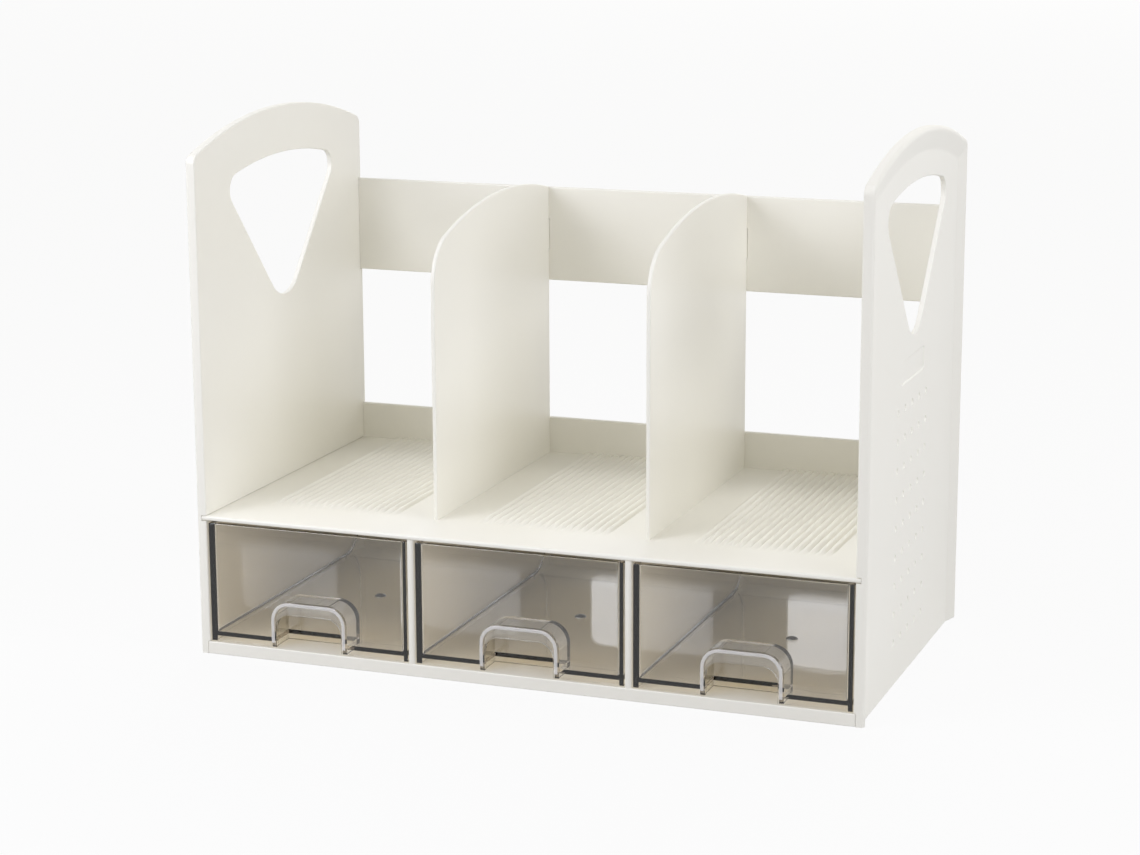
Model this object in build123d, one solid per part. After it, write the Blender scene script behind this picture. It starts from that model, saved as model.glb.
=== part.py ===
"""Desk bookshelf with three drawers: a moulded plastic housing with tinted clear drawers.

Millimetres. X runs left to right, Y front to back, Z up from the desk top.
The origin is in the middle of the footprint, on the desk top.
"""
import os
from math import sqrt

from build123d import *

# Overall sizes
overall_width = 340.0
overall_depth = 189.0
apex_height = 264.0

# Clearances between parts
joint_clearance = 0.2
drawer_side_clearance = 0.6
drawer_floor_clearance = 0.5
drawer_top_clearance = 1.2

# Side panels
panel_thickness = 5.2
panel_arch_radius = 290.0
panel_corner_radius = 5.0
panel_outer_edge_radius = 1.8
panel_inner_edge_radius = 0.8
field_recess = 2.6
field_rim = 2.4
field_bevel = 9.0
field_corner_radius = 0.8

# Handle hole in each side panel
handle_drop = 24.0
handle_sharp_width = 129.6
handle_sharp_depth = 83.0
handle_corner_radius = 8.0
handle_tip_radius = 18.5
handle_edge_radius = 0.6

# Dimples and bare name plate on the outer face of each side panel
dimple_rows = 9
dimple_columns = 5
dimple_pitch = 14.0
dimple_radius = 1.8
dimple_depth = 1.0
dimple_first_row_height = 133.7
dimple_centre_forward = 2.3
plate_length = 44.5
plate_height = 11.0
plate_depth = 0.5
plate_corner_radius = 1.5
plate_centre_height = 151.5

# Boards of the drawer housing
board_thickness = 2.4
deck_top_height = 70.8
deck_nose_radius = 1.0
deck_tongue = 1.4
deck_ear = 2.4
deck_ear_depth = 4.0
base_top_height = 6.3
base_tongue = 1.0
base_rail_thickness = 2.6
base_edge_radius = 0.6
partition_thickness = 3.5
partition_groove = 1.0
partition_tongue_setback = 6.0

# Non-slip ribs of the deck
rib_count = 17
rib_pitch = 4.0
rib_width = 2.0
rib_height = 0.6
rib_front_setback = 30.0
rib_ramp = 14.0

# Back panel with one window for each drawer bay, and its tabs
back_thickness = 3.0
back_tongue = 2.4
back_top_height = 90.2
back_edge_radius = 0.8
window_width = 60.5
window_height = 44.0
window_bottom_height = 14.0
window_corner_radius = 6.0
tab_width = 24.0

# Top rail
rail_bottom_height = 165.2
rail_height = 50.0
rail_edge_radius = 0.8

# Book dividers
divider_thickness = 2.2
divider_centre = 54.9
divider_front_setback = 31.0
divider_apex_height = 222.0
divider_apex_setback = 127.5
divider_arch_radius = 262.0
divider_corner_radius = 24.0
divider_edge_radius = 0.8
divider_foot_length = 14.0
divider_foot_depth = 1.6
divider_foot_front_setback = 55.0
divider_foot_back_setback = 36.0
divider_tab_height = 16.0
divider_tab_drop = 25.0

# Drawers
drawer_count = 3
drawer_front_setback = 0.8
drawer_back_gap = 11.2
drawer_wall = 2.5
drawer_floor = 2.2
drawer_skirt = 2.4
drawer_scoop_radius = 18.0
drawer_inner_radius = 1.2
drawer_edge_radius = 0.5
gate_well_radius = 3.0
gate_well_depth = 0.6

# Finger niche in the front of each drawer
niche_width = 36.0
niche_depth = 12.6
niche_wall = 2.3
niche_roof_height = 28.0
niche_corner_radius = 7.5
niche_lip = 4.3
niche_lip_inset = 0.4

# Derived places
front = -overall_depth / 2
back = overall_depth / 2
back_inner = back - back_thickness
inner_half = overall_width / 2 - panel_thickness
deck_bottom_height = deck_top_height - board_thickness
rail_top_height = rail_bottom_height + rail_height
bay_width = (2 * inner_half - (drawer_count - 1) * partition_thickness) / drawer_count
bay_pitch = bay_width + partition_thickness
bay_centres = [(index - (drawer_count - 1) / 2) * bay_pitch for index in range(drawer_count)]
partition_centres = [centre + bay_pitch / 2 for centre in bay_centres[:-1]]
divider_centres = (-divider_centre, divider_centre)
divider_foot_middles = (front + divider_foot_front_setback, back_inner - divider_foot_back_setback)
drawer_width = bay_width - 2 * drawer_side_clearance
drawer_front = front + drawer_front_setback
drawer_back = back_inner - drawer_back_gap
drawer_bottom = base_top_height + drawer_floor_clearance
drawer_floor_bottom = drawer_bottom + drawer_skirt
drawer_floor_top = drawer_floor_bottom + drawer_floor
drawer_top = deck_bottom_height - drawer_top_clearance

# How far a cutting tool reaches past the face that it opens
overcut = 10.0

# How near to a plane an edge lies to be picked as one of its edges
pick_tolerance = 0.01

# Outlines are drawn flat: on Plane.YZ their X is the object's Y and their Y its height,
# and on Plane.XZ their X is the object's X and their Y its height.


def block(x_range, y_range, z_range):
    """Box between two limits on each axis."""
    sizes = [high - low for low, high in (x_range, y_range, z_range)]
    centre = [(high + low) / 2 for low, high in (x_range, y_range, z_range)]
    return Pos(*centre) * Box(*sizes)


def edges_on_plane(solid, axis, place):
    """Edges of a solid that lie on the plane across an axis at a place."""
    return solid.edges().filter_by_position(axis, place - pick_tolerance, place + pick_tolerance)


def arch_face(inset, bottom, corner_radius):
    """Outline of a side panel, drawn in by an inset along the front, arch and back."""
    half = overall_depth / 2 - inset
    radius = panel_arch_radius - inset
    centre_height = apex_height - panel_arch_radius
    shoulder = centre_height + sqrt(radius**2 - half**2)
    with BuildSketch(Plane.YZ) as sketch:
        with BuildLine():
            Polyline((half, shoulder), (half, bottom), (-half, bottom), (-half, shoulder))
            ThreePointArc((-half, shoulder), (0, centre_height + radius), (half, shoulder))
        make_face()
        fillet(sketch.vertices().group_by(Axis.Y)[-1], corner_radius)
    return sketch.sketch


def handle_face():
    """Fan-shaped handle hole: its top follows the arch and its sides meet in a round tip."""
    half = handle_sharp_width / 2
    radius = panel_arch_radius - handle_drop
    centre_height = apex_height - panel_arch_radius
    shoulder = centre_height + sqrt(radius**2 - half**2)
    top = centre_height + radius
    with BuildSketch(Plane.YZ) as sketch:
        with BuildLine():
            ThreePointArc((-half, shoulder), (0, top), (half, shoulder))
            Polyline((half, shoulder), (0, top - handle_sharp_depth), (-half, shoulder))
        make_face()
        fillet(sketch.vertices().group_by(Axis.Y)[-1], handle_corner_radius)
        fillet(sketch.vertices().sort_by(Axis.Y)[0], handle_tip_radius)
    return sketch.sketch


def dimple_cutter(outer_field):
    """Rows of round dimples, as balls that dip into the outer field."""
    ball_radius = (dimple_radius**2 + dimple_depth**2) / (2 * dimple_depth)
    ball_x = outer_field + ball_radius - dimple_depth
    middle_column = (dimple_columns - 1) / 2
    balls = []
    for row in range(dimple_rows):
        for column in range(dimple_columns):
            y = (column - middle_column) * dimple_pitch - dimple_centre_forward
            z = dimple_first_row_height - row * dimple_pitch
            balls.append(Pos(ball_x, y, z) * Sphere(ball_radius))
    return balls


def plate_cutter(outer_field):
    """Shallow pocket of the bare name plate."""
    place = Plane(
        origin=(outer_field - plate_depth, -dimple_centre_forward, plate_centre_height),
        x_dir=(0, 1, 0),
        z_dir=(1, 0, 0),
    )
    return extrude(place * RectangleRounded(plate_length, plate_height, plate_corner_radius), overcut)


def panel_pockets():
    """Seats in the right panel's inner face for the deck, base board, back panel and top rail."""
    clear = joint_clearance
    seat = inner_half - overcut
    deck_band = (deck_bottom_height - clear, deck_top_height + clear)
    ear_back = front + deck_ear_depth + clear
    rebate = (back_inner - clear, back + overcut)
    rebate_x = (seat, inner_half + back_tongue + clear)
    return [
        block((seat, inner_half + deck_tongue + clear), (front - overcut, back_inner), deck_band),
        block((seat, inner_half + deck_ear + clear), (front - overcut, ear_back), deck_band),
        block(
            (seat, inner_half + base_tongue + clear),
            (front - overcut, back_inner),
            (-overcut, base_top_height + clear),
        ),
        block(rebate_x, rebate, (-overcut, back_top_height + clear)),
        block(rebate_x, rebate, (rail_bottom_height - clear, rail_top_height + clear)),
    ]


def right_side_panel():
    """Arched side panel: a recessed field with a bevelled rim, handle hole, dimples and plate."""
    outer = overall_width / 2
    field = outer - field_recess
    panel = Pos(inner_half, 0, 0) * extrude(arch_face(0, 0, panel_corner_radius), panel_thickness)
    for side, radius in ((-1, panel_outer_edge_radius), (0, panel_inner_edge_radius)):
        face_edges = panel.faces().sort_by(Axis.X)[side].edges()
        panel = fillet(face_edges.filter_by(lambda edge: edge.center().Z > pick_tolerance), radius)
    rim_corner = panel_corner_radius - field_rim
    recess = loft(
        [
            Pos(field, 0, 0) * arch_face(field_rim + field_bevel, -overcut, field_corner_radius),
            Pos(outer, 0, 0) * arch_face(field_rim, -overcut, rim_corner),
        ],
        ruled=True,
    )
    panel -= recess
    handle = Pos(inner_half - overcut, 0, 0) * extrude(handle_face(), panel_thickness + 2 * overcut)
    panel -= handle
    handle_top = apex_height - handle_drop
    handle_edges = [
        edge
        for x in (inner_half, field)
        for edge in edges_on_plane(panel, Axis.X, x)
        if abs(edge.center().Y) < handle_sharp_width / 2
        and handle_top - handle_sharp_depth < edge.center().Z < handle_top + pick_tolerance
    ]
    panel = fillet(handle_edges, handle_edge_radius)
    panel -= dimple_cutter(field)
    panel -= plate_cutter(field)
    panel -= panel_pockets()
    return panel


def deck_ribs(centre):
    """Low ribs of one book bay, each ramped down at the front."""
    start = front + rib_front_setback
    profile = Polyline(
        (start, 0), (start + rib_ramp, rib_height), (back_inner, rib_height), (back_inner, 0), close=True
    )
    face = Plane.YZ * make_face(profile)
    first = centre - (rib_count - 1) / 2 * rib_pitch - rib_width / 2
    return [
        Pos(first + index * rib_pitch, 0, deck_top_height) * extrude(face, rib_width)
        for index in range(rib_count)
    ]


def back_tab_ranges(centre):
    """X and Y limits of a tab that passes through the back panel."""
    return (centre - tab_width / 2, centre + tab_width / 2), (back_inner, back)


def divider_feet(margin):
    """Feet of both dividers in the deck, grown by a margin."""
    feet = []
    for centre in divider_centres:
        for middle in divider_foot_middles:
            feet.append(
                block(
                    (centre - divider_thickness / 2 - margin, centre + divider_thickness / 2 + margin),
                    (middle - divider_foot_length / 2 - margin, middle + divider_foot_length / 2 + margin),
                    (deck_top_height - divider_foot_depth - margin, deck_top_height),
                )
            )
    return feet


def shelf_deck():
    """Ribbed shelf board: tongues and front ears in the side panels, tabs through the back panel."""
    heights = (deck_bottom_height, deck_top_height)
    reach = inner_half + deck_tongue
    ear_reach = inner_half + deck_ear
    deck = block((-reach, reach), (front, back_inner), heights)
    deck += block((-ear_reach, ear_reach), (front, front + deck_ear_depth), heights)
    nose = deck.edges().filter_by(Axis.X).group_by(Axis.Y)[0]
    deck = fillet(nose, deck_nose_radius)
    for centre in bay_centres:
        deck += deck_ribs(centre)
        deck += block(*back_tab_ranges(centre), heights)
    deck -= divider_feet(joint_clearance)
    return deck


def partition_limits(centre, margin):
    """X and Y limits of a partition's bottom tongue, grown by a margin."""
    half = partition_thickness / 2 + margin
    return (centre - half, centre + half), (front + partition_tongue_setback - margin, back_inner)


def base_board():
    """Bottom board: front rail down to the desk, back skirt, and a groove for each partition."""
    reach = inner_half + base_tongue
    plate_bottom = base_top_height - board_thickness
    board = block((-reach, reach), (front, back_inner), (plate_bottom, base_top_height))
    board += block((-reach, reach), (front, front + base_rail_thickness), (0, base_top_height))
    board += block((-reach, reach), (back_inner - base_rail_thickness, back_inner), (0, base_top_height))
    rail_edges = board.edges().filter_by(Axis.X).group_by(Axis.Y)[0]
    board = fillet(rail_edges, base_edge_radius)
    for centre in partition_centres:
        groove_bottom = base_top_height - partition_groove - joint_clearance
        board -= block(
            *partition_limits(centre, joint_clearance), (groove_bottom, base_top_height + overcut)
        )
    for centre in bay_centres:
        board += block(*back_tab_ranges(centre), (plate_bottom, base_top_height))
    return board


def bay_partition(centre):
    """Upright wall between two drawer bays, with a tongue in the base board."""
    half = partition_thickness / 2
    wall = block((centre - half, centre + half), (front, back_inner), (base_top_height, deck_bottom_height))
    front_edges = wall.edges().filter_by(Axis.Z).group_by(Axis.Y)[0]
    wall = fillet(front_edges, base_edge_radius)
    tongue = block(
        *partition_limits(centre, 0), (base_top_height - partition_groove, base_top_height)
    )
    return wall + tongue


def back_panel():
    """Back wall of the housing: a window behind each bay, and a lip that stands above the deck."""
    reach = inner_half + back_tongue
    panel = block((-reach, reach), (back_inner, back), (0, back_top_height))
    top_edges = panel.edges().filter_by(Axis.X).group_by(Axis.Z)[-1]
    panel = fillet(top_edges, back_edge_radius)
    window_middle = window_bottom_height + window_height / 2
    for centre in bay_centres:
        place = Plane(origin=(centre, back + overcut, window_middle), x_dir=(1, 0, 0), z_dir=(0, -1, 0))
        window = place * RectangleRounded(window_width, window_height, window_corner_radius)
        panel -= extrude(window, back_thickness + 2 * overcut)
        (x_low, x_high), (y_low, y_high) = back_tab_ranges(centre)
        for top in (deck_top_height, base_top_height):
            panel -= block(
                (x_low - joint_clearance, x_high + joint_clearance),
                (y_low - overcut, y_high + overcut),
                (top - board_thickness - joint_clearance, top + joint_clearance),
            )
    return panel


def divider_tab(centre, margin):
    """Tab of a divider that passes through the top rail, grown by a margin."""
    half = divider_thickness / 2 + margin
    middle = rail_top_height - divider_tab_drop
    half_height = divider_tab_height / 2 + margin
    heights = (middle - half_height, middle + half_height)
    return block((centre - half, centre + half), (back_inner, back), heights)


def top_rail():
    """Rail across the top of the back, let into both side panels and slotted for the dividers."""
    reach = inner_half + back_tongue
    rail = block((-reach, reach), (back_inner, back), (rail_bottom_height, rail_top_height))
    rail = fillet(rail.edges().filter_by(Axis.X), rail_edge_radius)
    for centre in divider_centres:
        rail -= divider_tab(centre, joint_clearance)
    return rail


def book_divider(centre):
    """Upright divider with an arched top and a round front corner, on feet in the deck."""
    apex = front + divider_apex_setback
    divider_front = front + divider_front_setback
    circle_height = divider_apex_height - divider_arch_radius
    front_top = circle_height + sqrt(divider_arch_radius**2 - (divider_front - apex) ** 2)
    back_top = circle_height + sqrt(divider_arch_radius**2 - (back_inner - apex) ** 2)
    with BuildSketch(Plane.YZ) as sketch:
        with BuildLine():
            Polyline(
                (back_inner, back_top),
                (back_inner, deck_top_height),
                (divider_front, deck_top_height),
                (divider_front, front_top),
            )
            ThreePointArc((divider_front, front_top), (apex, divider_apex_height), (back_inner, back_top))
        make_face()
        corner = sketch.vertices().group_by(Axis.X)[0].sort_by(Axis.Y)[-1]
        fillet(corner, divider_corner_radius)
    divider = Pos(centre - divider_thickness / 2, 0, 0) * extrude(sketch.sketch, divider_thickness)
    rounded = [
        edge
        for face in (divider.faces().sort_by(Axis.X)[0], divider.faces().sort_by(Axis.X)[-1])
        for edge in face.edges()
        if edge.center().Z > deck_top_height + pick_tolerance
        and edge.center().Y < back_inner - pick_tolerance
    ]
    divider = fillet(rounded, divider_edge_radius)
    first_foot = divider_centres.index(centre) * len(divider_foot_middles)
    divider += divider_feet(0)[first_foot : first_foot + len(divider_foot_middles)]
    divider += divider_tab(centre, 0)
    return divider


def niche_face(width, top, corner_radius):
    """Arched outline of the finger niche, open at the bottom."""
    half = width / 2
    low = drawer_bottom - overcut
    with BuildSketch(Plane.XZ) as sketch:
        with BuildLine():
            Polyline((half, low), (half, top), (-half, top), (-half, low), close=True)
        make_face()
        fillet(sketch.vertices().group_by(Axis.Y)[-1], corner_radius)
    return sketch.sketch


def niche_solid(width, top, corner_radius, y_range):
    """Niche outline carried between two places along Y."""
    low, high = y_range
    return Pos(0, high, 0) * extrude(niche_face(width, top, corner_radius), high - low)


def tub_profile(low, high, bottom, top, scoop_radius):
    """Side view of a drawer tub, with its back bottom corner rounded."""
    with BuildSketch(Plane.YZ) as sketch:
        with BuildLine():
            Polyline((low, bottom), (high, bottom), (high, top), (low, top), close=True)
        make_face()
        corner = sketch.vertices().group_by(Axis.X)[-1].sort_by(Axis.Y)[0]
        fillet(corner, scoop_radius)
    return sketch.sketch


def drawer(centre):
    """Clear drawer: a tub on side runners, a finger niche folded into its front, a gate well below."""
    half = drawer_width / 2
    inner = half - drawer_wall
    inner_back = drawer_back - drawer_wall
    inner_front = drawer_front + drawer_wall
    outer_scoop = drawer_scoop_radius + drawer_floor
    runner_end = drawer_back - outer_scoop
    outer = tub_profile(drawer_front, drawer_back, drawer_floor_bottom, drawer_top, outer_scoop)
    tub = Pos(-half, 0, 0) * extrude(outer, 2 * half)
    skirt_heights = (drawer_bottom, drawer_floor_bottom)
    tub += block((-half, half), (drawer_front, inner_front), skirt_heights)
    for side in ((-half, -inner), (inner, half)):
        tub += block(side, (drawer_front, runner_end), skirt_heights)
    cavity_top = drawer_top + overcut
    cavity_face = tub_profile(inner_front, inner_back, drawer_floor_top, cavity_top, drawer_scoop_radius)
    cavity = Pos(-inner, 0, 0) * extrude(cavity_face, 2 * inner)
    inner_corners = [
        edge
        for x in (-inner, inner)
        for edge in edges_on_plane(cavity, Axis.X, x)
        if edge.center().Z < cavity_top - pick_tolerance
    ]
    tub -= fillet(inner_corners, drawer_inner_radius)
    niche_back = inner_front + niche_depth
    niche_box = niche_solid(
        niche_width + 2 * niche_wall,
        niche_roof_height + niche_wall,
        niche_corner_radius + niche_wall,
        (drawer_front, niche_back + niche_wall),
    )
    tub += niche_box & block(
        (-half, half), (drawer_front, drawer_back), (drawer_bottom, drawer_top)
    )
    tub -= niche_solid(niche_width, niche_roof_height, niche_corner_radius, (inner_front, niche_back))
    tub -= niche_solid(
        niche_width - 2 * niche_lip_inset,
        niche_roof_height - niche_lip,
        niche_corner_radius,
        (drawer_front - overcut, inner_front),
    )
    gate_place = Pos(0, (drawer_front + drawer_back) / 2, drawer_floor_bottom)
    tub -= gate_place * Cylinder(gate_well_radius, 2 * gate_well_depth)
    front_edges = edges_on_plane(tub, Axis.Y, drawer_front)
    rim_edges = edges_on_plane(tub, Axis.Z, drawer_top)
    tub = fillet(list({*front_edges, *rim_edges}), drawer_edge_radius)
    return Pos(centre, 0, 0) * tub


def save(name, solid):
    """Write one part to its file."""
    solid.label = name
    export_step(solid, f"parts/{name}.step")


def main():
    """Build every part in place and write it."""
    os.makedirs("parts", exist_ok=True)
    right_panel = right_side_panel()
    save("right_side_panel", right_panel)
    save("left_side_panel", mirror(right_panel, about=Plane.YZ))
    save("shelf_deck", shelf_deck())
    save("base_board", base_board())
    save("back_panel", back_panel())
    save("top_rail", top_rail())
    for side, partition_centre, centre in zip(("left", "right"), partition_centres, divider_centres):
        save(f"{side}_bay_partition", bay_partition(partition_centre))
        save(f"{side}_book_divider", book_divider(centre))
    for place, centre in zip(("left", "middle", "right"), bay_centres):
        save(f"{place}_drawer", drawer(centre))


main()
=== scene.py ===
"""Dressed desk bookshelf: white moulded housing with three smoke-clear drawers.

Sizes are millimetres unless a docstring says otherwise, and meshes are written in metres.
X runs left to right, Y front to back, Z up from the desk top.
"""

import logging
from collections.abc import Sequence
from dataclasses import dataclass
from enum import Enum
from math import atan2, cos, hypot, pi, radians, sin, sqrt

import bmesh
import bpy
import numpy as np
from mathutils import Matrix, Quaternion, Vector
from mathutils.geometry import tessellate_polygon


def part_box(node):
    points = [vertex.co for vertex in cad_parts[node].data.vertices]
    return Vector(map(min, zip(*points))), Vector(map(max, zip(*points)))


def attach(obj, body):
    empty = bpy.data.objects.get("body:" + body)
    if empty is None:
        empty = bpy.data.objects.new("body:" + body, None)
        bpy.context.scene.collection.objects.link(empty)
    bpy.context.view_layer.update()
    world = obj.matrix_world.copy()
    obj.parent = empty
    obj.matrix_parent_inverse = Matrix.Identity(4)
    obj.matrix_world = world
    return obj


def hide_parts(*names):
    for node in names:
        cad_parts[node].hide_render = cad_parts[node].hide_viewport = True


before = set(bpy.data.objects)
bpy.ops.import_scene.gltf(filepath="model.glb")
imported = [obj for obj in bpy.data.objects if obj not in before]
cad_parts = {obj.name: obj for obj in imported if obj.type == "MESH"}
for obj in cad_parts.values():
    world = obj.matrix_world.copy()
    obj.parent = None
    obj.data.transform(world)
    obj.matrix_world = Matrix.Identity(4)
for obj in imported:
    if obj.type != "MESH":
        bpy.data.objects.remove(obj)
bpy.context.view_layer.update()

log = logging.getLogger("desk_shelf")

MM = 0.001
QUARTER = pi / 2
SMOOTH_ANGLE = radians(32.0)
FLAT_ANGLE = radians(0.05)
FLAT_AREA = 60.0 * MM**2
MERGE_DISTANCE = 0.0001 * MM
LARGEST_FACE_WINS = 100
PURE_WHITE = (1.0, 1.0, 1.0)

# Colour sockets of a Mix node by number, because their names repeat
MIX_FIRST_COLOUR = 6
MIX_SECOND_COLOUR = 7
MIX_COLOUR_RESULT = 2

Array = np.ndarray
Range = tuple[float, float]
Box = tuple[Range, Range, Range]
Colour = tuple[float, float, float]
Point = tuple[float, float, float]


def node_box(node: str) -> tuple[Array, Array]:
    """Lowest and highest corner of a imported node, in millimetres."""
    low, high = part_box(node)
    return np.array(low) / MM, np.array(high) / MM


class Slot(Enum):
    """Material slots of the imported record."""

    WHITE = "white_plastic"
    SMOKE = "smoke_clear_plastic"


class Body(Enum):
    """Rigid bodies that pieces ride on."""

    HOUSING = "housing"
    LEFT_DRAWER = "left_drawer"
    MIDDLE_DRAWER = "middle_drawer"
    RIGHT_DRAWER = "right_drawer"


DRAWERS = (Body.LEFT_DRAWER, Body.MIDDLE_DRAWER, Body.RIGHT_DRAWER)


class Side(Enum):
    """Which way a mirrored piece faces along X."""

    LEFT = -1
    RIGHT = 1

    def node(self, piece: str) -> str:
        """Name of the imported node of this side's piece."""
        return f"{self.name.lower()}_{piece}"


class Change(Enum):
    """What a second mesh does to a piece."""

    JOIN = "UNION"
    CUT = "DIFFERENCE"


class Sheet(Enum):
    """Plane in which the outline of a plate is drawn."""

    YZ = "across the width"
    XZ = "across the depth"
    XY = "up the height"

    def lift(self, outline: Array, place: Array | float) -> Array:
        """Put flat points into space at a place along the plate's thickness.

        Args:
            outline: Points of shape (..., 2) in the sheet's own plane.
            place: Coordinate along the thickness, one number or one for each point.

        Returns:
            Points of shape (..., 3).
        """
        across = np.broadcast_to(place, outline.shape[:-1])
        if self is Sheet.YZ:
            return np.stack((across, outline[..., 0], outline[..., 1]), axis=-1)
        if self is Sheet.XZ:
            return np.stack((outline[..., 0], across, outline[..., 1]), axis=-1)
        return np.stack((outline[..., 0], outline[..., 1], across), axis=-1)


def arc(centre: Sequence[float], radius: float, start: float, stop: float, steps: int) -> Array:
    """Points of an arc: centre plus radius times (cos a, sin a), with a even from start to stop.

    Args:
        centre: Middle of the circle.
        radius: Radius of the circle.
        start: First angle in radians.
        stop: Last angle in radians.
        steps: Number of even steps.

    Returns:
        steps + 1 points of shape (n, 2).
    """
    angle = np.linspace(start, stop, steps + 1)
    return np.column_stack((centre[0] + radius * np.cos(angle), centre[1] + radius * np.sin(angle)))


def rings(middle: Sequence[float], radii: Array, steps: int) -> Array:
    """Circles round one middle: middle plus r times (cos a, sin a), with a even round the turn.

    Args:
        middle: Middle of the circles.
        radii: Radius r of each circle.
        steps: Points in each circle.

    Returns:
        Points of shape (circles, steps, 2).
    """
    circle = arc((0, 0), 1.0, 0, 2 * pi, steps)[:-1]
    return np.array(middle) + radii[:, None, None] * circle


def rounded_rectangle(
    centre: Sequence[float], size: Sequence[float], radius: float = 0.0, steps: int = 0
) -> Array:
    """Closed rectangle with a quarter circle at each corner, counter-clockwise.

    Args:
        centre: Middle of the rectangle.
        size: Width and height.
        radius: Corner radius.
        steps: Steps in each quarter circle, nought for sharp corners.

    Returns:
        Points of shape (n, 2).
    """
    half = np.array(size) / 2 - radius
    corners = []
    for index, signs in enumerate(((1, 1), (-1, 1), (-1, -1), (1, -1))):
        middle = np.array(centre) + half * signs
        corners.append(arc(middle, radius, index * QUARTER, (index + 1) * QUARTER, steps))
    return np.concatenate(corners)


def unit(vectors: Array) -> Array:
    """Vectors of shape (n, 2), each divided by its length."""
    return vectors / np.linalg.norm(vectors, axis=1, keepdims=True)


def shift_loop(loop: Array, distance: float) -> Array:
    """Closed loop moved to its left: each point slides along the mitre of its two edges' normals.

    Args:
        loop: Points of shape (n, 2), without a repeated last point.
        distance: How far the edges move, to the right where negative.

    Returns:
        Moved points of the same shape.
    """
    ahead = unit(np.roll(loop, -1, axis=0) - loop)
    normal = np.column_stack((-ahead[:, 1], ahead[:, 0]))
    before = np.roll(normal, 1, axis=0)
    mitre = (normal + before) / (1 + np.sum(normal * before, axis=1, keepdims=True))
    return loop + distance * mitre


def quarter_round(radius: float, steps: int) -> tuple[Array, Array]:
    """Quarter round from a face to a wall: inset r(1 - sin t) and depth r(1 - cos t).

    Args:
        radius: Radius of the rounding.
        steps: Number of even steps of t from 0 to a quarter turn.

    Returns:
        Insets from the wall and depths below the face.
    """
    t = np.linspace(0, QUARTER, steps + 1)
    return radius * (1 - np.sin(t)), radius * (1 - np.cos(t))


def soft_corner(before: Array, corner: Array, after: Array, steps: int) -> Array:
    """Corner eased by a parabola: (1 - t)^2 before + 2t(1 - t) corner + t^2 after.

    Args:
        before: Point on the first side.
        corner: Sharp corner.
        after: Point on the second side.
        steps: Number of even steps of t.

    Returns:
        Points of shape (steps + 1, 2).
    """
    t = np.linspace(0, 1, steps + 1)[:, None]
    return (1 - t) ** 2 * before + 2 * t * (1 - t) * corner + t**2 * after


def smooth_step(share: Array) -> Array:
    """Smooth step 3t^2 - 2t^3, with the share t held between 0 and 1."""
    t = np.clip(share, 0, 1)
    return t * t * (3 - 2 * t)


def ball_cap(radii: Array, rim: float, height: float) -> Array:
    """Height of a ball's cap over its rim: sqrt(R^2 - r^2) - (R - h), where R = (rim^2 + h^2) / 2h.

    Args:
        radii: Distances r from the cap's axis.
        rim: Radius of the cap's rim.
        height: Height h of the whole cap.

    Returns:
        Height at each distance.
    """
    ball = (rim**2 + height**2) / (2 * height)
    return np.sqrt(ball**2 - radii**2) - (ball - height)


def add_object(name: str, data: bpy.types.ID) -> bpy.types.Object:
    """Put a new object in the scene.

    Args:
        name: Name of the object.
        data: Mesh, lamp or camera that it shows.

    Returns:
        The new object.
    """
    shown = bpy.data.objects.new(name, data)
    bpy.context.scene.collection.objects.link(shown)
    return shown


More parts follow.
